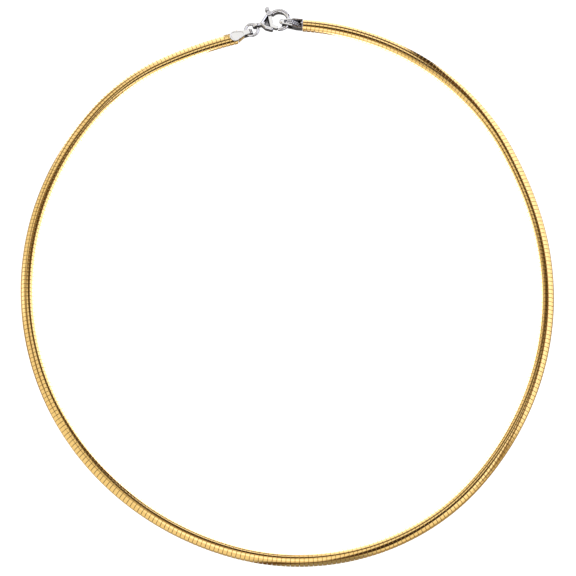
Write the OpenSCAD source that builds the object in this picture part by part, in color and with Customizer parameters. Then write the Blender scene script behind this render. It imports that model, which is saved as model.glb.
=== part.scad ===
/* [Omega chain] */
// Length of the plated chain between its end caps
chain_len = 430; // [380:5:520]
// Width of the plated chain
chain_w = 3.5; // [2.8:0.1:5]
// Height of the domed plates above their flat underside
chain_h = 1.8; // [1.6:0.05:2.6]
// Thickness of the sheet that the plates are pressed from
plate_t = 0.3; // [0.2:0.05:0.4]
// Radius of the plates' lower corners
plate_corner = 0.4; // [0.3:0.05:0.6]
// Height of the plates' upright sides, below the dome
plate_side = 0.5; // [0.45:0.05:0.9]
// Width of the slot under the plates, where the woven core shows
slot_w = 1.2; // [0.8:0.1:1.6]
// Depth at which the core's underside lies inside that slot
core_inset = 0.1; // [0.05:0.05:0.2]

/* [End caps] */
// Thickness of the caps' sheet
cap_sheet = 0.4; // [0.3:0.05:0.5]
// Length of the trough cap from the chain to the end of its eye
trough_len = 5.6; // [5.4:0.1:7]
// How far the trough cap's sides stay back from the chain's, where it ends
trough_inset = 0.35; // [0.2:0.05:0.5]
// Width of the trough cap's narrow neck
trough_neck_w = 1.45; // [1.1:0.05:1.6]
// Length of the bright lip that stands out past the eye
lip_len = 0.75; // [0.4:0.05:0.9]
// Distance from the jump ring's wire to the tongue's round end centre
tongue_len = 3.4; // [3:0.1:6]
// Radius of the tongue's round end
tongue_r = 1.5; // [1.2:0.05:2]
// Width of the tongue where it folds round the jump ring
tongue_neck_w = 1.34; // [1:0.05:1.6]
// Depth of the oval panel pressed into the tongue
panel_depth = 0.12; // [0.05:0.01:0.2]
// Length of the gold end plate under the tongue
end_plate_len = 1.8; // [1.4:0.1:2.2]

/* [Jump ring] */
// Outer diameter of the jump ring
ring_d = 4.15; // [4.1:0.05:6]
// Wire diameter of the jump ring
ring_wire = 0.78; // [0.6:0.02:0.84]

/* [Lobster clasp] */
// Radius of the hook, to the middle of its wire
hook_r = 2.6; // [2.5:0.05:3]
// Wire diameter of the hook
hook_wire = 1.15; // [1:0.05:1.2]
// Thickness of the clasp's hollow body
body_t = 1.9; // [1.8:0.05:2.1]
// Distance from the hook's centre to the eye in the clasp's tail
tail_dist = 6.4; // [6.2:0.1:8]
// Radius of the hole in the tail's eye
tail_hole_r = 0.7; // [0.68:0.01:0.76]
// Width of the tail's eye
tail_w = 0.75; // [0.6:0.05:0.9]
// Thickness of the lever
lever_t = 1.2; // [1:0.05:1.25]
// Width of the lever's gate arm
gate_w = 0.92; // [0.8:0.02:0.96]
// Diameter of the pin that the lever turns on
pin_d = 0.6; // [0.5:0.05:0.7]
// Radius of the thumb knob on the lever
knob_r = 0.55; // [0.45:0.05:0.6]
// How far the thumb knob stands from the pin
knob_reach = 1.45; // [1.45:0.05:2.2]

/* [Fit] */
// Gap between pieces that lie against each other
fit_gap = 0.05; // [0.03:0.01:0.08]
// Room round a wire in the eye that holds it
eye_clear = 0.12; // [0.08:0.01:0.2]

/* [Hidden] */
$fn = 48;

// The collar as it lies, clockwise from the trough cap: [radius, turn in degrees] of each bend,
// and two more bends are worked out that meet the tongue
route_len = 431;
bends = [[65, 60], [108, 11], [81, 56], [60, 65], [75, 54], [79, 59]];
chain_start = [4, 76.2];
// Headings in plan, in degrees from +X
cap_dir = 176;
clasp_dir = 16;
tongue_dir = 20;
chain_end_dir = 15;
// Where the wires cross the eyes: as angles round the hook and round the jump ring
hook_cross = -23;
ring_tail_cross = 42;
ring_tongue_cross = 222;

function polar(r, a) = [r*cos(a), r*sin(a)];
function left_of(v) = [-v.y, v.x];
function unit(v) = v/norm(v);

// Heights: the hook and the jump ring lie at one level inside the caps' eyes
clasp_z = cap_sheet + eye_clear + hook_wire/2;
hole_top = clasp_z + hook_wire/2 + eye_clear;
leaf_z = max(chain_h + fit_gap, clasp_z + ring_wire/2 + eye_clear);
fold_z = clasp_z - ring_wire/2 - eye_clear;
fold_r = (leaf_z - fold_z)/2;

// Plan places, from the trough cap round the clasp to the tongue, with each eye's room lengthways
eye_slack = 0.55;
fold_slack = 0.62;
wire_reach = trough_len - cap_sheet - eye_clear - hook_wire/2 - eye_slack;
cap_start = chain_start + polar(fit_gap, cap_dir);
hook_c = cap_start + polar(wire_reach, cap_dir) - polar(hook_r, hook_cross);
ring_r = (ring_d - ring_wire)/2;
ring_c = hook_c - polar(tail_dist, clasp_dir) - polar(ring_r, ring_tail_cross);
tongue_c = ring_c + polar(ring_r, ring_tongue_cross);
plate_start = 1.05;
chain_end = tongue_c - polar(plate_start + end_plate_len + 2*fit_gap, tongue_dir);

// Where each bend starts and which way it heads: [place, heading]
grow = chain_len/route_len;
function bend_starts(i = 0, p = chain_start, h = cap_dir - 180) =
    i == len(bends) ? [[p, h]] :
    let (r = grow*bends[i][0], c = p + polar(r, h - 90), g = h - bends[i][1])
    concat([[p, h]], bend_starts(i + 1, c + polar(r, g + 90), g));
starts = bend_starts();

// Two arcs that run from a place and heading to another: [start, heading, end] of each
function two_arcs(p, s, q, t) =
    let (v = q - p, k = 2*(1 - s*t), m = v*(s + t))
    let (d = k < 1e-6 ? (v*v)/(4*(v*t)) : (sqrt(m*m + k*(v*v)) - m)/k)
    let (j = (p + q + d*(s - t))/2, c = unit(j - p))
    [[p, s, j], [j, 2*(s*c)*c - s, q]];
function meet(end) = two_arcs(end[0], polar(1, end[1]), chain_end, polar(1, chain_end_dir));
arcs = concat([for (i = [0:len(bends) - 1]) [starts[i][0], polar(1, starts[i][1]), starts[i + 1][0]]],
              meet(starts[len(bends)]));

// Signed radius of an arc, with its centre on the left where positive, and its turn
function arc_radius(a) = let (c = a[2] - a[0]) (c*c)/(2*(c*left_of(a[1])));
function arc_turn(a) = let (c = a[2] - a[0]) 2*asin(c*left_of(a[1])/norm(c));
function arc_centre(a) = a[0] + arc_radius(a)*left_of(a[1]);
function arc_point(a, f) =
    let (c = arc_centre(a), v = a[0] - c, w = f*arc_turn(a))
    c + [v.x*cos(w) - v.y*sin(w), v.x*sin(w) + v.y*cos(w)];

// Stations along the route, [place, direction outwards], about one every ring_step
ring_step = 5;
function arc_stations(a) =
    let (n = ceil(abs(arc_radius(a)*arc_turn(a))*PI/180/ring_step))
    let (out = atan2(a[1].y, a[1].x) + 90)
    [for (i = [0:n - 1]) [arc_point(a, i/n), polar(1, out + i/n*arc_turn(a))]];
stations = concat([for (a = arcs) each arc_stations(a)], [[chain_end, polar(1, chain_end_dir + 90)]]);

// The frame's origin is the middle of everything in plan, thumb knob and all
hook_out_r = hook_r + hook_wire/2;
pivot = polar(hook_r + 0.62, 131);
knob_angle = 96;
knob = pivot + polar(knob_reach, knob_angle);
knob_top = hook_c.y + knob.x*sin(clasp_dir) + knob.y*cos(clasp_dir) + knob_r;
rim_line = [for (s = stations) s[0] + s[1]*chain_w/2];
x_low = min([for (p = rim_line) p.x]);
x_high = max([for (p = rim_line) p.x]);
y_low = min([for (p = rim_line) p.y]);
home = -[(x_low + x_high)/2, (y_low + knob_top)/2];

// Lever and hook tip: the gate swings inside this radius round its pin
gate_low = [0.18 - hook_r, -1.35];
foot = polar(hook_r - 0.1, 236);
gate_reach = norm(foot - pivot) + gate_w/2 - 0.06;
tip_angle = 248;
hook_start = 125;
// The hook is as deep as the body round its back, and thins in small steps to the wire at its tip
hook_deep_from = 20;
hook_step = 6;
hook_steps = 6;
hub_r = 0.55;
boss_r = 0.7;
boss_t = body_t + 0.04;
knob_t = 1.6;
rail_w = 0.58;
low_rail_w = 0.84;
tail_root = [-tail_dist + tail_hole_r + 0.65, 0.12];
rail_top_end = pivot + polar(0.75, 196);
rail_low_mid = [-4.05, -1.3];
rail_low_end = [-2.75, -2.15];
swing = 14;

// 2D outline round two circles, whose straight sides end just inside them
module taper_bar(a, b, ra, rb) {
    length = norm(b - a);
    lean = asin((ra - rb)/length);
    in = 0.99;
    translate(a) rotate(atan2(b.y - a.y, b.x - a.x)) {
        circle(ra);
        translate([length, 0]) circle(rb);
        polygon([in*ra*[sin(lean), cos(lean)], [length, 0] + in*rb*[sin(lean), cos(lean)],
                 [length, 0] + in*rb*[sin(lean), -cos(lean)], in*ra*[sin(lean), -cos(lean)]]);
    }
}

// Points of a section's dome, from its right shoulder over the top to its left one
function dome(w, side, h, steps) =
    let (rise = h - side, r = (w*w/4 + rise*rise)/(2*rise), a = acos(w/2/r))
    [for (i = [0:steps]) [0, h - r] + polar(r, a + i/steps*(180 - 2*a))];

// Outline of a plate: flat underside with a slot, upright sides, dome outside and hollow inside
function plate_outline() =
    let (half = chain_w/2, slot = slot_w/2, inner = half - plate_t, c = plate_corner)
    let (low = c*(1 - cos(45)), out = [[slot, 0], [half - c, 0], [half - low, low], [half, c]])
    concat(out, dome(chain_w, plate_side, chain_h, 8), [for (i = [3:-1:0]) [-out[i].x, out[i].y]],
           [[-slot, plate_t], [-inner, plate_t]],
           [for (i = [4:-1:0]) dome(2*inner, plate_side, chain_h - plate_t, 4)[i]],
           [[inner, plate_t], [slot, plate_t]]);

// Outline of the woven core: it fills the hollow, and its foot stands in the slot
function core_outline() =
    let (t = plate_t + fit_gap, half = chain_w/2 - t, foot = slot_w/2 - fit_gap)
    concat([[foot, core_inset], [foot, t], [half, t]], dome(2*half, plate_side, chain_h - t, 4),
           [[-half, t], [-foot, t], [-foot, core_inset]]);

// Sweeps a closed outline along the route
module sweep(outline) {
    n = len(outline);
    rings = len(stations);
    polyhedron(
        points = [for (s = stations, q = outline) [s[0].x + s[1].x*q.x, s[0].y + s[1].y*q.x, q.y]],
        faces = concat(
            [for (i = [0:rings - 2], j = [0:n - 1], k = [0, 1])
                let (a = i*n + j, b = i*n + (j + 1)%n) k == 0 ? [a, b, b + n] : [a, b + n, a + n]],
            [[for (j = [n - 1:-1:0]) j], [for (j = [0:n - 1]) (rings - 1)*n + j]]));
}

module at_home() { translate(home) children(); }
module at_clasp() { at_home() translate(hook_c) rotate(clasp_dir) children(); }
module at_trough() { at_home() translate(cap_start) rotate(cap_dir) children(); }
module at_tongue() { at_home() translate(tongue_c) rotate(tongue_dir) children(); }

// Layer of a flat piece between two heights
module layer(z0, z1) { translate([0, 0, z0]) linear_extrude(z1 - z0) children(); }

// Side view, drawn as [along, up], given a width across
module across(w) { translate([0, w/2, 0]) rotate([90, 0, 0]) linear_extrude(w) children(); }

module omega_chain() {
    color("goldenrod") at_home() sweep(plate_outline());
}

// Woven core inside the plates
module core_band() {
    color("gainsboro") at_home() sweep(core_outline());
}

// The core's crimped end, which lies on the trough cap's ramp
crimp_t = 0.2;
crimp_w = 1.2;
module core_end() {
    color("gainsboro") at_trough() intersection() {
        layer(0, 2*chain_h) trough_plan(cap_sheet + eye_clear);
        across(crimp_w) trough_ramp(fit_gap, crimp_t);
    }
}

// Its wide edge lies along the chain's last plate
module left_end_plate() {
    w = chain_w/2 - fit_gap;
    lean = w*tan(tongue_dir - chain_end_dir);
    far = -plate_start - end_plate_len;
    color("gold") at_tongue() layer(fold_z + fit_gap, leaf_z - fit_gap)
        polygon([[far - lean, -w], [-plate_start, -tongue_neck_w*0.6],
                 [-plate_start, tongue_neck_w*0.6], [far + lean, w]]);
}

// The tongue: a leaf on the chain's end that folds down round the jump ring and back under
module left_end_cap() {
    reach = ring_wire/2 + eye_clear + fold_slack;
    fold_c = [reach - fold_r, fold_z + fold_r];
    back = plate_start + end_plate_len/2;
    color("silver") at_tongue() difference() {
        union() {
            layer(leaf_z, leaf_z + cap_sheet)
                taper_bar([-tongue_len, 0], [-tongue_neck_w/2, 0], tongue_r, tongue_neck_w/2);
            across(tongue_neck_w) difference() {
                union() {
                    translate(fold_c) circle(fold_r + cap_sheet);
                    translate([-back, fold_z - cap_sheet])
                        square([back + fold_c.x, 2*(fold_r + cap_sheet)]);
                }
                translate(fold_c) circle(fold_r);
                translate([-2*back, fold_z]) square([2*back + fold_c.x, 2*fold_r]);
            }
        }
        layer(leaf_z + cap_sheet - panel_depth, leaf_z + 2*cap_sheet)
            taper_bar([-tongue_len, 0], [-tongue_len*0.5, 0], tongue_r*0.74, tongue_r*0.4);
    }
}

// Outline of the trough cap: its back edge is straight, its front edge tapers to the neck
trough_front = [[0, 1], [0.28, 0.98], [0.53, 0.79], [0.8, 0.6]];
module trough_plan(inset) {
    half = chain_w/2 - trough_inset;
    neck = trough_neck_w/2;
    polygon(concat([for (p = trough_front) [p.x*trough_len, max(p.y*half, neck) - inset]],
                   [[trough_len, neck - inset], [trough_len, inset - neck], [0, inset - half]]));
}

// The ramp inside the trough, as a strip of the given thickness lifted off its floor
rim_rise = 0.5;
trough_floor = [[0.07, 0], [rim_rise, 1], [0.9, 1]];
module trough_ramp(lift, thick) {
    low = cap_sheet + fit_gap + lift;
    high = hole_top + cap_sheet + lift;
    line = [for (p = trough_floor) [p.x*trough_len, low + p.y*(high - low)]];
    polygon(concat(line, [for (i = [2:-1:0]) line[i] + [0, thick]]));
}

module right_end_cap() {
    rim = hole_top + 2*cap_sheet - 0.15;
    eye_c = (hole_top + cap_sheet)/2;
    hole_half = (hole_top - cap_sheet)/2;
    eye_far = trough_len - cap_sheet - hole_half;
    eye_near = wire_reach - eye_slack - fit_gap;
    color("silver") at_trough() difference() {
        union() {
            intersection() {
                layer(0, rim) trough_plan(0);
                across(2*chain_w) {
                    polygon([[0, 0], [eye_far, 0], [eye_far, rim], [rim_rise*trough_len, rim],
                             [0, chain_h - 2*fit_gap]]);
                    translate([eye_far, eye_c]) circle(eye_c);
                    translate([eye_far, eye_c]) square([trough_len - eye_far - 0.1, rim - eye_c]);
                }
            }
            layer(hole_top, hole_top + cap_sheet)
                taper_bar([trough_len - trough_neck_w, 0],
                          [trough_len + lip_len - trough_neck_w/2, 0], trough_neck_w/2, trough_neck_w/2 - 0.01);
            intersection() {
                layer(hole_top, rim) translate([trough_len + lip_len - trough_neck_w/2, 0])
                    circle(trough_neck_w/2);
                translate([trough_len + lip_len - trough_neck_w/2, 0, rim - 1.1*trough_neck_w])
                    sphere(1.1*trough_neck_w);
            }
        }
        intersection() {
            layer(0, 2*rim) trough_plan(cap_sheet);
            across(chain_w) trough_ramp(0, 2*rim);
        }
        across(2*chain_w) {
            translate([eye_far, eye_c]) circle(hole_half);
            translate([eye_near, eye_c]) circle(hole_half);
            translate([eye_near, cap_sheet]) square([eye_far - eye_near, 2*hole_half]);
        }
    }
}

module jump_ring() {
    color("silver") at_home() translate([ring_c.x, ring_c.y, clasp_z])
        rotate_extrude($fn = 96) translate([ring_r, 0]) circle(ring_wire/2);
}

// The hook's back from one angle on: its wire drawn out upwards and downwards by the same reach
module hook_back(from, reach) {
    translate([0, 0, clasp_z]) rotate(from) rotate_extrude(angle = hook_start - from, $fn = 96)
        translate([hook_r, 0]) {
            translate([0, reach]) circle(hook_wire/2);
            translate([0, -reach]) circle(hook_wire/2);
            square([0.98*hook_wire, 2*reach], center = true);
        }
}

// Hollow cast body: a tub of two rails and a floor, with the hook, the pin's boss and the tail's eye
module clasp_body() {
    z0 = clasp_z - body_t/2;
    z1 = clasp_z + body_t/2;
    soft = 0.14;
    color("silver") at_clasp() difference() {
        union() {
            translate([0, 0, clasp_z]) rotate(tip_angle - 360)
                rotate_extrude(angle = hook_start + 360 - tip_angle, $fn = 96) translate([hook_r, 0]) circle(hook_wire/2);
            for (i = [1:hook_steps]) hook_back(hook_deep_from + i*hook_step, i/hook_steps*(body_t - hook_wire)/2);
            for (s = [0, 1]) layer(z0 + s*soft, z1 - s*soft) {
                taper_bar(tail_root, rail_top_end, rail_w/2 - soft + s*soft, rail_w/2 - soft + s*soft - 0.01);
                taper_bar(tail_root, rail_low_mid, rail_w/2 - soft + s*soft, low_rail_w/2 - soft + s*soft);
                taper_bar(rail_low_mid, rail_low_end, low_rail_w/2 - soft + s*soft,
                          low_rail_w/2 - soft + s*soft - 0.01);
            }
            layer(z0 + soft, z0 + 2.5*soft)
                polygon([tail_root, rail_top_end, pivot + [0, -0.6], gate_low, rail_low_end, rail_low_mid]);
            layer(clasp_z - boss_t/2, clasp_z + boss_t/2) translate(pivot) circle(boss_r);
            layer(z0 + soft, z1 - soft) taper_bar([-tail_dist + tail_hole_r + 0.3, 0], tail_root + [0.5, 0],
                                                  tail_w/2, tail_w/2 + 0.12);
            translate([-tail_dist, 0, clasp_z]) across(tail_w) circle(tail_hole_r + 0.4);
        }
        translate([-tail_dist, 0, clasp_z]) across(3*tail_w) circle(tail_hole_r);
        layer(clasp_z - lever_t/2 - fit_gap, clasp_z + lever_t/2 + fit_gap) {
            translate(pivot) circle(hub_r + 2*fit_gap);
            for (a = [0:swing/4:swing])
                translate(pivot) rotate(a) translate(-pivot) lever_plan(2*fit_gap);
        }
        layer(-1, 2*clasp_z) translate(pivot) circle(pin_d/2);
        layer(0, 2*clasp_z) intersection() {
            translate(pivot) circle(gate_reach + 2*fit_gap);
            polygon([[-hook_out_r, -hook_out_r - 1], [0.5, -hook_out_r - 1], [0.5, -0.8], [foot.x, foot.y + 0.6],
                     rail_low_end + [low_rail_w, 0.1], rail_low_end + [low_rail_w, -1.5]]);
        }
    }
}

// Outline of the lever: hub, thumb arm and gate arm with its foot, grown by a gap
module lever_plan(grown) {
    taper_bar(pivot, gate_low, gate_w/2 + grown + 0.03, gate_w/2 + grown);
    taper_bar(gate_low, foot, gate_w/2 + grown, gate_w/2 + grown - 0.03);
    taper_bar(pivot, knob, 0.42 + grown, 0.36 + grown);
}

module clasp_lever() {
    color("silver") at_clasp() difference() {
        union() {
            layer(clasp_z - lever_t/2, clasp_z + lever_t/2) {
                translate(pivot) circle(hub_r);
                intersection() {
                    lever_plan(0);
                    translate(pivot) circle(gate_reach);
                }
            }
            layer(clasp_z - knob_t/2, clasp_z + knob_t/2) translate(knob) circle(knob_r);
        }
        layer(-1, 2*clasp_z) translate(pivot) circle(pin_d/2 + fit_gap);
    }
}

module clasp_pin() {
    color("gainsboro") at_clasp() layer(clasp_z - boss_t/2, clasp_z + boss_t/2)
        translate(pivot) circle(pin_d/2 - fit_gap/2);
}

omega_chain();
core_band();
core_end();
left_end_plate();
left_end_cap();
right_end_cap();
jump_ring();
clasp_body();
clasp_lever();
clasp_pin();
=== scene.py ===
import math
import random

import bmesh
import bpy
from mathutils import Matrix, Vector
from mathutils.bvhtree import BVHTree


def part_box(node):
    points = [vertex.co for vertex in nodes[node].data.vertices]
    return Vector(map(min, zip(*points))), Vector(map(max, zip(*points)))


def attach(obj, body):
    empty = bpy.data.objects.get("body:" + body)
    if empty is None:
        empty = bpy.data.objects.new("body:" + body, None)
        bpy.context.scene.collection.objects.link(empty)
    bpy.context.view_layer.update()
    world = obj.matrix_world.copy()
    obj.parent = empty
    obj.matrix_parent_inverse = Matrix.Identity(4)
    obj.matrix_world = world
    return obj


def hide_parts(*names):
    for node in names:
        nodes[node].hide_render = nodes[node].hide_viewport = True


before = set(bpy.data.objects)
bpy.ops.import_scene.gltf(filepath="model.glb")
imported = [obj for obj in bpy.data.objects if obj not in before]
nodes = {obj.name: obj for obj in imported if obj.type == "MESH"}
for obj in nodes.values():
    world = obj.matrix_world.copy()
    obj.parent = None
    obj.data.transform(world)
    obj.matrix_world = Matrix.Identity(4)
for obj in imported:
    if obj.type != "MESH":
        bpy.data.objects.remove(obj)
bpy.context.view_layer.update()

mm = 0.001
rand = random.Random(11)

# places in plan, in mm: the same chosen values as the solids have
route = {
    "bends": [(65, 60), (108, 11), (81, 56), (60, 65), (75, 54), (79, 59)],  # radius, turn
    "start": Vector((4, 76.2)),
    "capDir": 176, "claspDir": 16, "tongueDir": 20, "endDir": 15,
    "hookCross": -23, "tailCross": 42, "tongueCross": 222,
    "gap": 0.05, "wireReach": 3.955, "hookR": 2.6, "tailDist": 6.4, "ringR": 1.685,
    "plateStart": 1.05, "endPlate": 1.8, "grow": 430/431,
}


def polar(length, degrees):
    return Vector((length*math.cos(math.radians(degrees)), length*math.sin(math.radians(degrees))))


capStart = route["start"] + polar(route["gap"], route["capDir"])
hookAt = capStart + polar(route["wireReach"], route["capDir"]) - polar(route["hookR"], route["hookCross"])
tailAt = hookAt - polar(route["tailDist"], route["claspDir"])
ringAt = tailAt - polar(route["ringR"], route["tailCross"])
tongueAt = ringAt + polar(route["ringR"], route["tongueCross"])
chainEnd = tongueAt - polar(route["plateStart"] + route["endPlate"] + 2*route["gap"], route["tongueDir"])

ringLow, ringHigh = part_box("jump_ring")
home = Vector(((ringLow.x + ringHigh.x)/2/mm - ringAt.x, (ringLow.y + ringHigh.y)/2/mm - ringAt.y))

# the camera looks down on the collar from 21.44 degrees off upright, from in front
view = {"tilt": 21.44, "distance": 768.3, "halfWidth": 75.34, "halfSensor": 18, "clip": 0.01}
tilt = math.radians(view["tilt"])
camera = bpy.data.cameras.new("camera")
cameraObject = bpy.data.objects.new("camera", camera)
bpy.context.scene.collection.objects.link(cameraObject)
cameraObject.location = (home.x*mm, (home.y - view["distance"]*math.sin(tilt))*mm,
                         view["distance"]*math.cos(tilt)*mm)
cameraObject.rotation_euler = (tilt, 0, 0)
camera.lens = view["halfSensor"]*view["distance"]/view["halfWidth"]
camera.clip_start = view["clip"]
bpy.context.scene.camera = cameraObject


# the route as arcs, each with its centre, radius, start angle and turn
def arcOf(p, heading, q):
    chord = q - p
    left = Vector((-heading.y, heading.x))
    radius = chord.dot(chord)/(2*chord.dot(left))
    turn = 2*math.asin(max(-1, min(1, chord.dot(left)/chord.length)))
    centre = p + left*radius
    return {"p": p, "heading": math.atan2(heading.y, heading.x), "radius": radius,
            "turn": turn, "centre": centre, "length": abs(radius*turn)}


# two arcs of equal reach that lead from p with heading s to q with heading t
def twoArcs(p, s, q, t):
    v = q - p
    k = 2*(1 - s.dot(t))
    m = v.dot(s + t)
    d = (math.sqrt(m*m + k*v.dot(v)) - m)/k
    j = (p + q + (s - t)*d)/2
    c = (j - p).normalized()
    return [arcOf(p, s, j), arcOf(j, c*2*s.dot(c) - s, q)]


def chainArcs():
    p, h = route["start"].copy(), route["capDir"] - 180
    arcs = []
    for radius, turn in route["bends"]:
        radius *= route["grow"]
        c = p + polar(radius, h - 90)
        q = c + polar(radius, h - turn + 90)
        arcs.append(arcOf(p, polar(1, h), q))
        p, h = q, h - turn
    return arcs + twoArcs(p, polar(1, h), chainEnd, polar(1, route["endDir"]))


arcs = chainArcs()
chainLength = sum(a["length"] for a in arcs)


# place in mm and heading at a length s along the chain
def along(s):
    i = 0
    while i < len(arcs) - 1 and s > arcs[i]["length"]:
        s -= arcs[i]["length"]
        i += 1
    a = arcs[i]
    w = a["turn"]*s/a["length"]
    v = a["p"] - a["centre"]
    c, n = math.cos(w), math.sin(w)
    q = a["centre"] + Vector((v.x*c - v.y*n, v.x*n + v.y*c)) + home
    return q, a["heading"] + w


def makeObject(name, verts, faces, material, crease):
    mesh = bpy.data.meshes.new(name)
    mesh.from_pydata([Vector(v)*mm for v in verts], [], faces)
    mesh.validate()
    piece = bpy.data.objects.new(name, mesh)
    bpy.context.scene.collection.objects.link(piece)
    finishMesh(piece, material, crease)
    return piece


# smooth shading, with edges kept sharp where they turn by more than crease degrees
def finishMesh(piece, material, crease):
    mesh = piece.data
    bm = bmesh.new()
    bm.from_mesh(mesh)
    bmesh.ops.recalc_face_normals(bm, faces=bm.faces)
    bm.to_mesh(mesh)
    bm.free()
    mesh.polygons.foreach_set("use_smooth", [True]*len(mesh.polygons))
    mesh.set_sharp_from_angle(angle=math.radians(crease))
    mesh.materials.clear()
    mesh.materials.append(material)
    mesh.update()


# skin between rings of points, each ring a closed loop
def loft(rings, verts, faces):
    base = len(verts)
    n = len(rings[0])
    for ring in rings:
        verts.extend(ring)
    for i in range(len(rings) - 1):
        a, b = base + i*n, base + (i + 1)*n
        for j in range(n):
            k = (j + 1) % n
            faces.append((a + j, a + k, b + k, b + j))
    faces.append(tuple(base + j for j in range(n - 1, -1, -1)))
    faces.append(tuple(base + (len(rings) - 1)*n + j for j in range(n)))


# puts a cross-section of [across, up] at length s of the chain
def standOn(ring2d, s, roll=0.0, yaw=0.0, lift=0.0):
    q, h = along(s)
    h += yaw
    out = Vector((-math.sin(h), math.cos(h)))
    c, n = math.cos(roll), math.sin(roll)
    return [(q.x + out.x*(x*c - z*n), q.y + out.y*(x*c - z*n), x*n + z*c + lift) for x, z in ring2d]


# half an egg of metal on a surface: long is its half length along, wide across, high up
def addBead(centre, along3, up, long, wide, high, verts, faces, sides, rows):
    side = up.cross(along3)
    base = len(verts)
    for k in range(rows):
        a = k/rows*math.pi/2
        for j in range(sides):
            t = 2*math.pi*j/sides
            verts.append(centre + along3*(long*math.cos(a)*math.cos(t))
                         + side*(wide*math.cos(a)*math.sin(t)) + up*(high*math.sin(a)))
    verts.append(centre + up*high)
    faces.append(tuple(base + j for j in range(sides - 1, -1, -1)))
    for k in range(rows):
        for j in range(sides):
            a, b = base + k*sides + j, base + k*sides + (j + 1) % sides
            if k < rows - 1:
                faces.append((a, b, b + sides, a + sides))
            else:
                faces.append((a, b, base + rows*sides))


# shader helpers. Inputs go by name or by place: 6 and 7 are the two colours of a Mix node
def put(tree, kind, values=None, **settings):
    made = tree.nodes.new("ShaderNode" + kind)
    for key, value in settings.items():
        setattr(made, key, value)
    for key, value in (values or {}).items():
        if isinstance(value, bpy.types.NodeSocket):
            tree.links.new(value, made.inputs[key])
        else:
            made.inputs[key].default_value = value
    return made


def newGroup(name, inputs, outputs):
    tree = bpy.data.node_groups.new(name, "ShaderNodeTree")
    for side, sockets in (("INPUT", inputs), ("OUTPUT", outputs)):
        for label, kind in sockets.items():
            tree.interface.new_socket(label, in_out=side, socket_type="NodeSocket" + kind)
    return tree, tree.nodes.new("NodeGroupInput").outputs, tree.nodes.new("NodeGroupOutput").inputs


def placeGroup(tree, group, values):
    made = tree.nodes.new("ShaderNodeGroup")
    made.node_tree = group
    for key, value in values.items():
        if isinstance(value, bpy.types.NodeSocket):
            tree.links.new(value, made.inputs[key])
        else:
            made.inputs[key].default_value = value
    return made.outputs


# fine hairlines from wear, each run turned and squeezed its own way, and soft clouds of tone
hairs = {"runs": ((0.6, (1, 15, 1)), (-0.9, (12, 1, 1)), (0.1, (0.8, 9, 9))), "detail": 3.0,
         "roughness": 0.6, "from": 0.6, "to": 0.72, "cloudScale": 0.35, "cloudDetail": 2.0}


def makeWearGroup():
    tree, given, out = newGroup("handlingWear", {"Size": "Float", "Amount": "Float"},
                                {"Hairlines": "Float", "Clouds": "Float"})
    place = put(tree, "TexCoord").outputs["Object"]
    grown = put(tree, "VectorMath", {0: place, "Scale": given["Size"]}, operation="SCALE").outputs[0]
    lines = []
    for turn, squeeze in hairs["runs"]:
        turned = put(tree, "Mapping", {"Vector": grown, "Rotation": (0, 0, turn), "Scale": squeeze})
        noise = put(tree, "TexNoise", {"Vector": turned.outputs[0], "Scale": 1.0, "Detail": hairs["detail"],
                                       "Roughness": hairs["roughness"]})
        lines.append(put(tree, "MapRange", {"Value": noise.outputs["Fac"], "From Min": hairs["from"],
                                            "From Max": hairs["to"]}).outputs["Result"])
    most = put(tree, "Math", {0: lines[0], 1: lines[1]}, operation="MAXIMUM").outputs[0]
    most = put(tree, "Math", {0: most, 1: lines[2]}, operation="MAXIMUM").outputs[0]
    hair = put(tree, "Math", {0: most, 1: given["Amount"]}, operation="MULTIPLY").outputs[0]
    cloud = put(tree, "TexNoise", {"Vector": grown, "Scale": hairs["cloudScale"],
                                   "Detail": hairs["cloudDetail"]}).outputs["Fac"]
    tree.links.new(hair, out["Hairlines"])
    tree.links.new(cloud, out["Clouds"])
    return tree


wear = makeWearGroup()
# the patina attribute also carries painted shade, which is made rougher along with the patina
dulling = 0.3  # how much rougher patina makes the metal


# a metal: two tones that clouds mix, darker where the patina attribute is high (patina together with painted
# shade), hairlines in gloss and relief
def makeMetal(name, look):
    material = bpy.data.materials.new(name)
    material.use_nodes = True
    tree = material.node_tree
    shader = tree.nodes["Principled BSDF"]
    marks = placeGroup(tree, wear, {"Size": look["wearSize"], "Amount": look["wearAmount"]})
    tone = put(tree, "Mix", {"Factor": marks["Clouds"], 6: look["tones"][0], 7: look["tones"][1]},
               data_type="RGBA").outputs[2]
    gloss = put(tree, "MapRange", {"Value": marks["Hairlines"], "To Min": look["roughness"][0],
                                   "To Max": look["roughness"][1]}).outputs["Result"]
    if "patinaAndShade" in look:
        patinaAndShadeMask = put(tree, "Attribute", attribute_name="patinaAndShade", attribute_type="GEOMETRY").outputs["Fac"]
        broken = put(tree, "Math", {0: patinaAndShadeMask, 1: marks["Clouds"]}, operation="MULTIPLY").outputs[0]
        patinaAndShadeAmount = put(tree, "MapRange", {"Value": broken, "From Min": look["patinaAndShadeFrom"],
                                         "From Max": look["patinaAndShadeTo"],
                                         "To Max": look["patinaAndShadeMost"]}).outputs["Result"]
        tone = put(tree, "Mix", {"Factor": patinaAndShadeAmount, 6: tone, 7: look["patinaAndShade"]}, data_type="RGBA").outputs[2]
        gloss = put(tree, "Math", {0: patinaAndShadeAmount, 1: dulling, 2: gloss}, operation="MULTIPLY_ADD").outputs[0]
    relief = put(tree, "Bump", {"Strength": look["relief"], "Distance": look["depth"],
                                "Height": marks["Hairlines"]}, invert=True).outputs[0]
    shader.inputs["Metallic"].default_value = 1
    tree.links.new(tone, shader.inputs["Base Color"])
    tree.links.new(gloss, shader.inputs["Roughness"])
    tree.links.new(relief, shader.inputs["Normal"])
    return material


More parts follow.
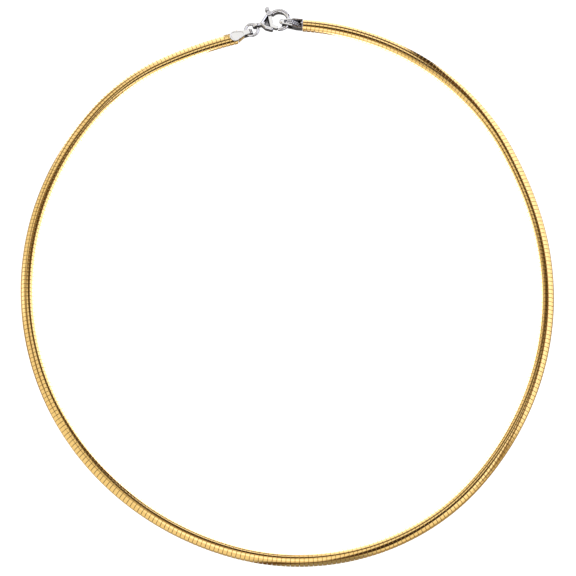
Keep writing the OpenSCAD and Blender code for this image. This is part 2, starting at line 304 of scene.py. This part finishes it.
goldLook = {"tones": [(1.0, 0.67, 0.235, 1), (1.0, 0.7, 0.28, 1)], "roughness": (0.035, 0.1),
            "wearSize": 900.0, "wearAmount": 0.8, "relief": 0.25, "depth": 0.000004}
# the patina colours of the silver looks also serve as painted shade, in hollows, down flanks, in the trough
# and in the core's slot
silverLook = {"tones": [(0.86, 0.85, 0.835, 1), (0.8, 0.79, 0.775, 1)], "roughness": (0.06, 0.18),
              "wearSize": 1100.0, "wearAmount": 0.8, "relief": 0.3, "depth": 0.000004,
              "patinaAndShade": (0.08, 0.08, 0.088, 1), "patinaAndShadeFrom": 0.12, "patinaAndShadeTo": 0.42, "patinaAndShadeMost": 0.9}
wovenLook = {"tones": [(0.86, 0.855, 0.84, 1), (0.7, 0.695, 0.68, 1)], "roughness": (0.22, 0.4),
             "wearSize": 1600.0, "wearAmount": 1.0, "relief": 0.4, "depth": 0.000006,
             "patinaAndShade": (0.03, 0.025, 0.02, 1), "patinaAndShadeFrom": 0.1, "patinaAndShadeTo": 0.3, "patinaAndShadeMost": 1.0}
gold = makeMetal("goldPlate", goldLook)
silver = makeMetal("polishedSilver", silverLook)
woven = makeMetal("wovenSilver", wovenLook)
print("materials made")

# the chain's plates, each a hair out of line with its neighbours
plates = {
    "count": 378, "width": 3.5, "height": 1.8, "side": 0.5, "corner": 0.4, "sheet": 0.3, "slot": 1.2,
    "cornerTurns": (0.5, 1.05), "outerSteps": 14, "innerSteps": 6, "crease": 30,
    "gap": 0.1, "bevel": 0.03, "shoulder": 0.001, "crown": 0.0012, "crownShare": 0.4,
    "roll": 0.006, "yaw": 0.004, "lift": 0.006,
}


def domePoints(width, side, height, steps):
    rise = height - side
    radius = (width*width/4 + rise*rise)/(2*rise)
    a = math.acos(width/2/radius)
    return [(radius*math.cos(a + i/steps*(math.pi - 2*a)),
             height - radius + radius*math.sin(a + i/steps*(math.pi - 2*a))) for i in range(steps + 1)]


# closed C-shaped outline of a plate; inset shrinks its outer skin
def plateOutline(inset):
    p = plates
    half, c = p["width"]/2 - inset, p["corner"]
    low = [(p["slot"]/2, inset), (half - c, inset)]
    low += [(half - c + c*math.sin(a), inset + c - c*math.cos(a)) for a in p["cornerTurns"]]
    outer = low + domePoints(2*half, p["side"], p["height"] - inset, p["outerSteps"])
    outer += [(-x, z) for x, z in reversed(low)]
    t = p["sheet"]
    inner = [(-p["slot"]/2, t), (-p["width"]/2 + t, t)]
    inner += list(reversed(domePoints(p["width"] - 2*t, p["side"], p["height"] - t, p["innerSteps"])))
    inner += [(p["width"]/2 - t, t), (p["slot"]/2, t)]
    return outer + inner


def makePlates():
    p = plates
    pitch = chainLength/p["count"]
    half = (pitch - p["gap"])/2
    slope, crest = half - p["bevel"], half*p["crownShare"]
    profile = [(-half, p["bevel"]), (-slope, p["shoulder"]), (-crest, -p["crown"]),
               (crest, -p["crown"]), (slope, p["shoulder"]), (half, p["bevel"])]
    outlines = [plateOutline(inset) for t, inset in profile]
    verts, faces = [], []
    for i in range(p["count"]):
        mid = (i + 0.5)*pitch
        roll, yaw = rand.gauss(0, p["roll"]), rand.gauss(0, p["yaw"])
        lift = abs(rand.gauss(0, p["lift"]))
        rings = []
        for (t, inset), outline in zip(profile, outlines):
            rings.append(standOn(outline, mid + t, roll, yaw, lift))
        loft(rings, verts, faces)
    return makeObject("chainPlates", verts, faces, gold, p["crease"])


chain = makePlates()
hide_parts("omega_chain")
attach(chain, "collar")
print("plates:", len(chain.data.polygons), "faces")

# the woven core: a ribbon with two rows of knuckles that show in the slot under the plates
core = {"foot": 0.55, "inset": 0.13, "sheet": 0.35, "step": 4.0, "domeSteps": 4, "crease": 45,
        "knuckle": 0.5, "rows": 0.27, "long": 0.27, "wide": 0.24, "high": 0.1, "sink": 0.01,
        "stagger": 0.25, "lean": 0.5, "sides": 8, "steps": 2, "ribbonDark": 1.0, "knuckleDark": 0.15}


def makeCore():
    c = core
    half = plates["width"]/2 - c["sheet"]
    outline = [(c["foot"], c["inset"]), (c["foot"], c["sheet"]), (half, c["sheet"])]
    outline += domePoints(2*half, plates["side"], plates["height"] - c["sheet"], c["domeSteps"])
    outline += [(-half, c["sheet"]), (-c["foot"], c["sheet"]), (-c["foot"], c["inset"])]
    count = round(chainLength/c["step"])
    verts, faces = [], []
    loft([standOn(outline, i*chainLength/count) for i in range(count + 1)], verts, faces)
    ribbon = len(verts)
    for row in (-1, 1):
        for i in range(int(chainLength/c["knuckle"])):
            q, h = along((i + 0.5 + row*c["stagger"])*c["knuckle"])
            out = Vector((-math.sin(h), math.cos(h), 0))
            lean = h + row*c["lean"]
            addBead(Vector((q.x, q.y, c["inset"] + c["sink"])) + out*row*c["rows"],
                    Vector((math.cos(lean), math.sin(lean), 0)), Vector((0, 0, -1)),
                    c["long"], c["wide"], c["high"], verts, faces, c["sides"], c["steps"])
    piece = makeObject("coreRibbon", verts, faces, woven, c["crease"])
    # painted shade: the ribbon, deep in the slot under the plates, is painted dark all over, the knuckles
    # hardly at all
    layer = piece.data.attributes.new("patinaAndShade", "FLOAT", "POINT")
    dark = [c["ribbonDark"] if i < ribbon else c["knuckleDark"] for i in range(len(piece.data.vertices))]
    layer.data.foreach_set("value", dark)
    return piece


coreRibbon = makeCore()
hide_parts("core_band")
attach(coreRibbon, "collar")
print("core:", len(coreRibbon.data.polygons), "faces")


# cast pieces: the solids' own forms with softened edges. Points closer than weld metres are joined
weld, softness, castCrease = 1e-7, 0.5, 180


def castCopy(node, name, material, voxel, rounds, swell):
    piece = bpy.data.objects.new(name, nodes[node].data.copy())
    bpy.context.scene.collection.objects.link(piece)
    bm = bmesh.new()
    bm.from_mesh(piece.data)
    bmesh.ops.remove_doubles(bm, verts=bm.verts, dist=weld)
    bm.to_mesh(piece.data)
    bm.free()
    remesh = piece.modifiers.new("cast", "REMESH")
    remesh.mode = "VOXEL"
    remesh.voxel_size = voxel*mm
    smooth = piece.modifiers.new("tumble", "SMOOTH")
    smooth.factor = softness
    smooth.iterations = rounds
    fill = piece.modifiers.new("swell", "DISPLACE")
    fill.mid_level = 0
    fill.strength = swell*mm
    graph = bpy.context.evaluated_depsgraph_get()
    mesh = bpy.data.meshes.new_from_object(piece.evaluated_get(graph))
    piece.modifiers.clear()
    piece.data = mesh
    finishMesh(piece, material, castCrease)
    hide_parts(node)
    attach(piece, "lever" if node == "clasp_lever" else "collar")
    return piece


cast = {  # name, material, voxel, rounds of smoothing, swell that makes up for them
    "clasp_body": ("claspBody", silver, 0.05, 14, 0.02),
    "clasp_lever": ("claspLever", silver, 0.04, 12, 0.01),
    "right_end_cap": ("troughCap", silver, 0.04, 5, 0.0),
    "left_end_cap": ("tongueCap", silver, 0.035, 6, 0.01),
    "jump_ring": ("jumpRing", silver, 0.04, 5, 0.01),
    "clasp_pin": ("claspPin", silver, 0.025, 4, 0.0),
    "left_end_plate": ("endPlate", gold, 0.04, 3, 0.0),
}
castPieces = {node: castCopy(node, *how) for node, how in cast.items()}
print("cast pieces:", {o.name: len(o.data.polygons) for o in castPieces.values()})

# the core's crimped end in the trough cap: the strip under two rows of knuckles, each laid on the metal
crimp = {"from": 0.35, "to": 4.3, "pitch": 0.6, "rows": (-0.2, 0.32), "long": 0.28, "wide": 0.26,
         "lift": 0.2, "sink": 0.03, "top": 2.485, "above": 4, "sides": 12, "steps": 4, "crease": 40}


def makeCrimp():
    c = crimp
    verts = [v.co/mm for v in nodes["core_end"].data.vertices]
    faces = [tuple(p.vertices) for p in nodes["core_end"].data.polygons]
    under = len(verts)
    cap = castPieces["right_end_cap"].data
    ground = BVHTree.FromPolygons(
        verts + [v.co/mm for v in cap.vertices],
        faces + [tuple(under + i for i in p.vertices) for p in cap.polygons])
    ahead = polar(1, route["capDir"])
    side = Vector((-ahead.y, ahead.x))
    count = round((c["to"] - c["from"])/c["pitch"])
    for row, d in enumerate(c["rows"]):
        for i in range(count):
            q = capStart + ahead*(c["from"] + (i + row/2)*c["pitch"]) + side*d + home
            spot, up, index, depth = ground.ray_cast(Vector((q.x, q.y, c["above"])), Vector((0, 0, -1)))
            if spot is None:
                continue
            way = Vector((ahead.x, ahead.y, 0)).cross(up).cross(up)*-1
            lift = min(c["lift"], c["top"] - spot.z + c["sink"])
            addBead(spot - up*c["sink"], way.normalized(), up, c["long"], c["wide"], lift, verts, faces,
                    c["sides"], c["steps"])
    verts = [Vector((v[0], v[1], min(v[2], c["top"]))) for v in verts]
    return makeObject("crimpedEnd", verts, faces, silver, c["crease"]), under


crimpedEnd, stripVerts = makeCrimp()
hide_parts("core_end")
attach(crimpedEnd, "collar")

# patina and painted shade on the silver: darker in the hollows, where each point looks round for metal
# (partly patina, partly painted shade), and darker down the flanks that turn from upright (painted shade)
hollows = {"rays": 18, "reach": 1.6, "off": 0.03, "from": 0.15, "to": 0.75, "flank": 1.5,
           "flankFrom": 0.88, "goldenAngle": 2.39996}


def settlePatinaAndPaintShade(pieces):
    h = hollows
    verts, faces = [], []
    for piece in pieces:
        base = len(verts)
        verts.extend(v.co/mm for v in piece.data.vertices)
        faces.extend([base + i for i in p.vertices] for p in piece.data.polygons)
    tree = BVHTree.FromPolygons(verts, faces)
    spread = []
    for i in range(h["rays"]):
        z = math.sqrt(1 - (i + 0.5)/h["rays"])
        t = i*h["goldenAngle"]
        spread.append(Vector((math.cos(t)*math.sqrt(1 - z*z), math.sin(t)*math.sqrt(1 - z*z), z)))
    for piece in pieces:
        mesh = piece.data
        values = []
        for v in mesh.vertices:
            turn = Vector((0, 0, 1)).rotation_difference(v.normal)
            start = v.co/mm + v.normal*h["off"]
            hit = sum(tree.ray_cast(start, turn @ d, h["reach"])[0] is not None for d in spread)
            share = hit/h["rays"]
            hollow = (share - h["from"])/(h["to"] - h["from"])
            flank = (h["flankFrom"] - v.normal.z)*h["flank"]
            values.append(min(1, max(0, hollow, flank)))
        layer = mesh.attributes.new("patinaAndShade", "FLOAT", "POINT")
        layer.data.foreach_set("value", values)


# painted shade: the trough is painted dark round the crimped core and the core's strip dark all over; the
# knuckles are painted bright on top and dark down their sides, painted light and shade by which way they
# face
trough = {"from": 0.15, "to": 4.6, "level": 0.5, "half": 1.4, "neck": 0.78, "taper": 3.2, "rim": 0.26,
          "edge": 0.12, "facing": 0.2, "knuckleDark": 1.5, "knuckleTopLight": 1.7}


def darkenTrough():
    t = trough
    ahead = polar(1, route["capDir"])
    side = Vector((-ahead.y, ahead.x))
    cap = castPieces["right_end_cap"].data
    layer = cap.attributes["patinaAndShade"].data
    for v in cap.vertices:
        q = Vector((v.co.x/mm, v.co.y/mm)) - home - capStart
        s, d = q.dot(ahead), abs(q.dot(side))
        if v.normal.z > t["facing"] and v.co.z/mm > t["level"] and t["from"] < s < t["to"]:
            half = t["half"] + (t["neck"] - t["half"])*min(1, s/t["taper"])
            into = min(half - t["rim"] - d, t["to"] - s)/t["edge"]
            layer[v.index].value = max(layer[v.index].value, min(1, max(0, into)))
    layer = crimpedEnd.data.attributes["patinaAndShade"].data
    for v in crimpedEnd.data.vertices:
        slopeShade = t["knuckleDark"] - t["knuckleTopLight"]*v.normal.z
        layer[v.index].value = 1 if v.index < stripVerts else min(1, max(0, slopeShade))


# patina and painted shade in the hollows and down the flanks, then painted shade in the trough
settlePatinaAndPaintShade([o for n, o in castPieces.items() if n != "left_end_plate"] + [crimpedEnd])
darkenTrough()
print("patina settled")

# the studio: a tent of light over white paper, with bright cloths and dark flags on it. A place on
# the tent is in degrees from its top, towards the right and towards the back
tent = {"radius": 220, "fineness": 5, "base": (0.42, 0.4, 0.38)}
flag, dusk, bronze, brown = (0.05, 0.035, 0.025), (0.12, 0.075, 0.04), (0.24, 0.17, 0.1), (0.36, 0.29, 0.2)
pale, cream = (1.25, 1.27, 1.4), (1.45, 1.48, 1.75)
cloths = [  # from, to, half width, softness, colour
    ((-30, -5), (20, -5), 82, 20, (0.95, 0.92, 0.86)),
    ((54, -2), (58, 45), 42, 24, pale),
    ((47, 36), (62, 12), 14, 16, cream),
    ((-40, 84), (40, 80), 36, 20, cream),
    ((4, 52), (40, 50), 12, 12, cream),
    ((-60, 92), (-24, 104), 24, 16, (1.9, 2.0, 3.2)),
    ((-76, 18), (-112, 30), 8, 10, cream),
    ((-100, 44), (-125, -20), 14, 16, (0.62, 0.59, 0.54)),
    ((-108, 8), (-114, -20), 9, 10, brown),
    ((104, -41), (79, -60), 8, 10, brown),
    ((79, -60), (29, -95), 7, 10, brown),
    ((8, -84), (8, -150), 24, 12, (0.3, 0.29, 0.28)),
    ((-8, 42), (8, 41), 7, 8, (1.04, 1.04, 1.03)),
    ((-4, -28), (-22, -34), 11, 12, cream),
    ((50, -4), (54, -20), 9, 8, cream),
    ((-28, 53), (-52, 60), 7, 8, brown),
    ((-52, -6), (-50, 30), 5, 5, bronze),
    ((-50, 30), (-54, 58), 6, 6, brown),
    ((-6, 26), (-27, 26), 5, 4, bronze),
    ((-27, 26), (-57, -3), 4, 4, bronze),
    ((-12, 9), (-10, -11), 4, 4, brown),
    ((-10, -9), (-36, -8), 4, 5, brown),
    ((24, 26), (1, 20), 4, 4, dusk),
    ((0, 12), (-4, 3), 5.5, 4, dusk),
    ((8, 41), (15, 39), 5, 5, cream),
    ((-3, 12), (7, 28), 6, 4, flag),
    ((8, 62), (24, 56), 11, 6, dusk),
    ((24, 50), (14, 28), 7, 4, dusk),
    ((14, 28), (23, 18), 7, 4, dusk),
    ((23, 18), (24, -10), 7.5, 4, dusk),
    ((25, -14), (20, -50), 11, 6, flag),
    ((18, -54), (-2, -67), 4.5, 5, dusk),
    ((-2, -67), (-21, -116), 4.5, 5, dusk),
    ((27, 24), (42, 0), 5, 4, bronze),
    ((42, 0), (68, -36), 5, 6, bronze),
    ((64, -34), (80, -34), 8, 12, brown),
    ((30, 60), (47, 112), 5, 5, flag),
]


def makeClothGroup():
    tree, given, out = newGroup(
        "clothOnTent", {"Place": "Vector", "Under": "Color", "Cloth": "Color", "From": "Vector",
                        "To": "Vector", "Inner": "Float", "Outer": "Float"}, {"Color": "Color"})
    reach = put(tree, "VectorMath", {0: given["Place"], 1: given["From"]}, operation="SUBTRACT").outputs[0]
    length = put(tree, "VectorMath", {0: given["To"], 1: given["From"]}, operation="SUBTRACT").outputs[0]
    over = put(tree, "VectorMath", {0: reach, 1: length}, operation="DOT_PRODUCT").outputs["Value"]
    whole = put(tree, "VectorMath", {0: length, 1: length}, operation="DOT_PRODUCT").outputs["Value"]
    share = put(tree, "Math", {0: over, 1: whole}, operation="DIVIDE", use_clamp=True).outputs[0]
    foot = put(tree, "VectorMath", {0: length, "Scale": share}, operation="SCALE").outputs[0]
    gap = put(tree, "VectorMath", {0: reach, 1: foot}, operation="DISTANCE").outputs["Value"]
    cover = put(tree, "MapRange", {"Value": gap, "From Min": given["Outer"], "From Max": given["Inner"]},
                interpolation_type="SMOOTHSTEP").outputs["Result"]
    mixed = put(tree, "Mix", {"Factor": cover, 6: given["Under"], 7: given["Cloth"]}, data_type="RGBA",
                clamp_result=False).outputs[2]
    tree.links.new(mixed, out["Color"])
    return tree


def makeTent():
    mesh = bpy.data.meshes.new("lightTent")
    bm = bmesh.new()
    bmesh.ops.create_icosphere(bm, subdivisions=tent["fineness"], radius=tent["radius"]*mm)
    bm.to_mesh(mesh)
    bm.free()
    piece = bpy.data.objects.new("lightTent", mesh)
    bpy.context.scene.collection.objects.link(piece)
    piece.location = (home.x*mm, home.y*mm, 0)
    material = bpy.data.materials.new("tentCloth")
    material.use_nodes = True
    tree = material.node_tree
    tree.nodes.clear()
    spot = put(tree, "TexCoord").outputs["Object"]
    ray = put(tree, "VectorMath", {0: spot}, operation="NORMALIZE").outputs[0]
    parts = put(tree, "SeparateXYZ", {0: ray}).outputs
    turn = put(tree, "Math", {0: parts["Z"]}, operation="ARCCOSINE").outputs[0]
    fromTop = put(tree, "Math", {0: turn, 1: 180/math.pi}, operation="MULTIPLY").outputs[0]
    flat = put(tree, "CombineXYZ", {"X": parts["X"], "Y": parts["Y"]}).outputs[0]
    way = put(tree, "VectorMath", {0: flat}, operation="NORMALIZE").outputs[0]
    place = put(tree, "VectorMath", {0: way, "Scale": fromTop}, operation="SCALE").outputs[0]
    cloth = makeClothGroup()
    colour = tent["base"] + (1,)
    for start, end, half, soft, shade in cloths:
        colour = placeGroup(tree, cloth, {
            "Place": place, "Under": colour, "Cloth": shade + (1,), "From": start + (0,), "To": end + (0,),
            "Inner": half - soft/2, "Outer": half + soft/2})["Color"]
    glow = put(tree, "Emission", {"Color": colour, "Strength": 1.0}).outputs[0]
    tree.links.new(glow, put(tree, "OutputMaterial").inputs["Surface"])
    material.cycles.emission_sampling = "NONE"
    mesh.materials.append(material)
    piece.visible_camera = False


# sheets of glowing paper: the floor, the lit paper inside the collar, and a grey card behind the clasp,
# dark at its foot, so that the silver doesn't melt into the white
paper = {"base": (0.3, 0.3, 0.3, 1), "floorHalf": 3000, "floorLevel": -0.04, "floorGlow": 1.05,
         "level": -0.02, "colour": (3.0, 3.0, 4.2), "share": 0.965, "stop": 9, "steps": 120,
         "notch": (-5, 46)}
cards = {"ends": ((-18, 75), (4, 83)), "greyCard": (0, 10, 0.42), "darkCard": (-6, 0, 0.08)}


def makePaper(name, points, colour, strength=1.0):
    mesh = bpy.data.meshes.new(name)
    mesh.from_pydata([Vector(p)*mm for p in points], [], [tuple(range(len(points)))])
    piece = bpy.data.objects.new(name, mesh)
    bpy.context.scene.collection.objects.link(piece)
    material = bpy.data.materials.new(name)
    material.use_nodes = True
    shader = material.node_tree.nodes["Principled BSDF"]
    shader.inputs["Base Color"].default_value = paper["base"]
    shader.inputs["Roughness"].default_value = 1
    shader.inputs["Specular IOR Level"].default_value = 0
    shader.inputs["Emission Color"].default_value = colour + (1,)
    shader.inputs["Emission Strength"].default_value = strength
    material.cycles.emission_sampling = "NONE"
    mesh.materials.append(material)
    return piece


makeTent()
far, low = paper["floorHalf"], paper["floorLevel"]
floor = makePaper("floor", [(-far, -far, low), (far, -far, low), (far, far, low), (-far, far, low)],
                  (1.0, 1.0, 1.0), paper["floorGlow"])
floor.visible_glossy = False
stop, steps = paper["stop"], paper["steps"]
spots = [along(stop + (chainLength - 2*stop)*i/steps)[0] for i in range(steps + 1)]
inside = [home + (q - home)*paper["share"] for q in spots] + [Vector(paper["notch"])]
makePaper("litPaper", [(q.x, q.y, paper["level"]) for q in inside], paper["colour"])
(x1, y1), (x2, y2) = cards["ends"]
for name in ("greyCard", "darkCard"):
    low, high, grey = cards[name]
    card = makePaper(name, [(x1, y1, low), (x2, y2, low), (x2, y2, high), (x1, y1, high)], (grey,)*3)
    card.visible_camera = False

world = bpy.data.worlds.new("studio")
bpy.context.scene.world = world
world.use_nodes = True
world.node_tree.nodes["Background"].inputs["Color"].default_value = (1, 1, 1, 1)
world.node_tree.nodes["Background"].inputs["Strength"].default_value = 1.0
bpy.context.scene.view_settings.view_transform = "Standard"
print("studio made")
